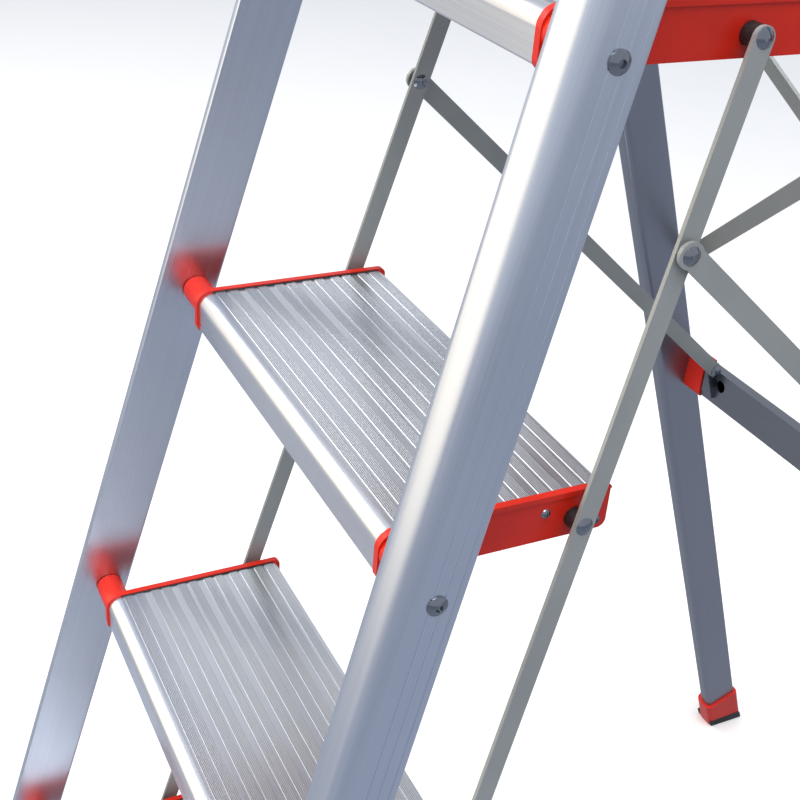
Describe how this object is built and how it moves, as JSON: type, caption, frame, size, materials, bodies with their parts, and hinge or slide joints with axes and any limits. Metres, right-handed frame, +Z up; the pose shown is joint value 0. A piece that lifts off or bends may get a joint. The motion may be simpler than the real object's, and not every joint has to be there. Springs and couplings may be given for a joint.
{
  "type": "step stool",
  "caption": "Folding step stool with ribbed treads, a top platform, splayed hollow stiles, red end caps, flat folding links and a hinged rear frame.",
  "frame": {"origin": "On the floor, at the centre of the footprint of the open stool.", "axes": "+X is across the treads, +Y is from the climbing side to the rear frame, +Z is up."},
  "size_m": [0.5638, 0.9454, 1.3673],
  "materials": {
    "aluminium": "satin anodised",
    "tread_aluminium": "ribbed extrusion",
    "red_plastic": "moulded gloss",
    "bar_paint": "satin grey paint",
    "frame_paint": "satin slate paint",
    "zinc_steel": "zinc plated",
    "washer_black": "moulded"
  },
  "bodies": {
    "front_frame": {"stile_left": "aluminium", "stile_right": "aluminium", "stile_foot_left": "red_plastic", "stile_foot_right": "red_plastic", "stile_top_caps": "red_plastic", "top_rail": "aluminium", "top_rail_sockets": "red_plastic", "step_pivot_bolts": "zinc_steel", "hinge_plates": "zinc_steel", "hinge_pins": "zinc_steel", "hinge_plate_bolts": "zinc_steel", "hinge_washers": "washer_black"},
    "rear_frame": {"rear_leg_left": "frame_paint", "rear_leg_right": "frame_paint", "rear_foot_left": "red_plastic", "rear_foot_right": "red_plastic", "leg_top_caps": "red_plastic", "brace_crossbar": "frame_paint", "brace_bar_sockets": "red_plastic", "platform_crossbar": "frame_paint", "platform_bar_sockets": "red_plastic", "rear_diagonal_a": "bar_paint", "rear_diagonal_b": "bar_paint", "diagonal_rivets": "zinc_steel", "brace_lugs": "frame_paint", "lug_pins": "zinc_steel"},
    "platform": {"platform_deck": "tread_aluminium", "platform_cap_left": "red_plastic", "platform_cap_right": "red_plastic", "platform_screws": "zinc_steel", "platform_link_washers": "washer_black"},
    "link_bars": {"link_left": "bar_paint", "link_right": "bar_paint", "link_rivets": "zinc_steel", "brace_rivet_tails": "zinc_steel"},
    "braces": {"brace_left": "bar_paint", "brace_right": "bar_paint", "brace_rivets": "zinc_steel"},
    "step_1": {"tread_1": "tread_aluminium", "end_cap_1_left": "red_plastic", "end_cap_1_right": "red_plastic", "cap_screws_1": "zinc_steel", "link_washers_1": "washer_black"},
    "step_2": {"tread_2": "tread_aluminium", "end_cap_2_left": "red_plastic", "end_cap_2_right": "red_plastic", "cap_screws_2": "zinc_steel", "link_washers_2": "washer_black"},
    "step_3": {"tread_3": "tread_aluminium", "end_cap_3_left": "red_plastic", "end_cap_3_right": "red_plastic", "cap_screws_3": "zinc_steel", "link_washers_3": "washer_black"}
  },
  "joints": [
    {"name": "rear_fold", "type": "hinge", "parent": "front_frame", "child": "rear_frame", "pos_m": [0, -0.07944, 1.2924], "axis": [1, 0, 0], "range_deg": [-34.35, 0]},
    {"name": "step_1_tilt", "type": "hinge", "parent": "front_frame", "child": "step_1", "pos_m": [0, -0.37971, 0.234], "axis": [1, 0, 0], "range_deg": [0, 65.4]},
    {"name": "step_2_tilt", "type": "hinge", "parent": "front_frame", "child": "step_2", "pos_m": [0, -0.31356, 0.479], "axis": [1, 0, 0], "range_deg": [0, 65.4]},
    {"name": "step_3_tilt", "type": "hinge", "parent": "front_frame", "child": "step_3", "pos_m": [0, -0.24741, 0.724], "axis": [1, 0, 0], "range_deg": [0, 65.4]},
    {"name": "platform_tilt", "type": "hinge", "parent": "front_frame", "child": "platform", "pos_m": [0, -0.18126, 0.969], "axis": [1, 0, 0], "range_deg": [0, 65.4]},
    {"name": "link_swing", "type": "hinge", "parent": "step_3", "child": "link_bars", "pos_m": [0, -0.14321, 0.7192], "axis": [1, 0, 0], "range_deg": [-65.4, 0]},
    {"name": "brace_swing", "type": "hinge", "parent": "rear_frame", "child": "braces", "pos_m": [0, 0.23084, 0.5745], "axis": [1, 0, 0], "range_deg": [-23.55, 0]}
  ],
  "couplings": [
    {"joint": "step_1_tilt", "follows": "rear_fold", "ratio": -1.9039},
    {"joint": "step_2_tilt", "follows": "rear_fold", "ratio": -1.9039},
    {"joint": "step_3_tilt", "follows": "rear_fold", "ratio": -1.9039},
    {"joint": "platform_tilt", "follows": "rear_fold", "ratio": -1.9039},
    {"joint": "link_swing", "follows": "rear_fold", "ratio": 1.9039},
    {"joint": "brace_swing", "follows": "rear_fold", "ratio": 0.6849}
  ]
}
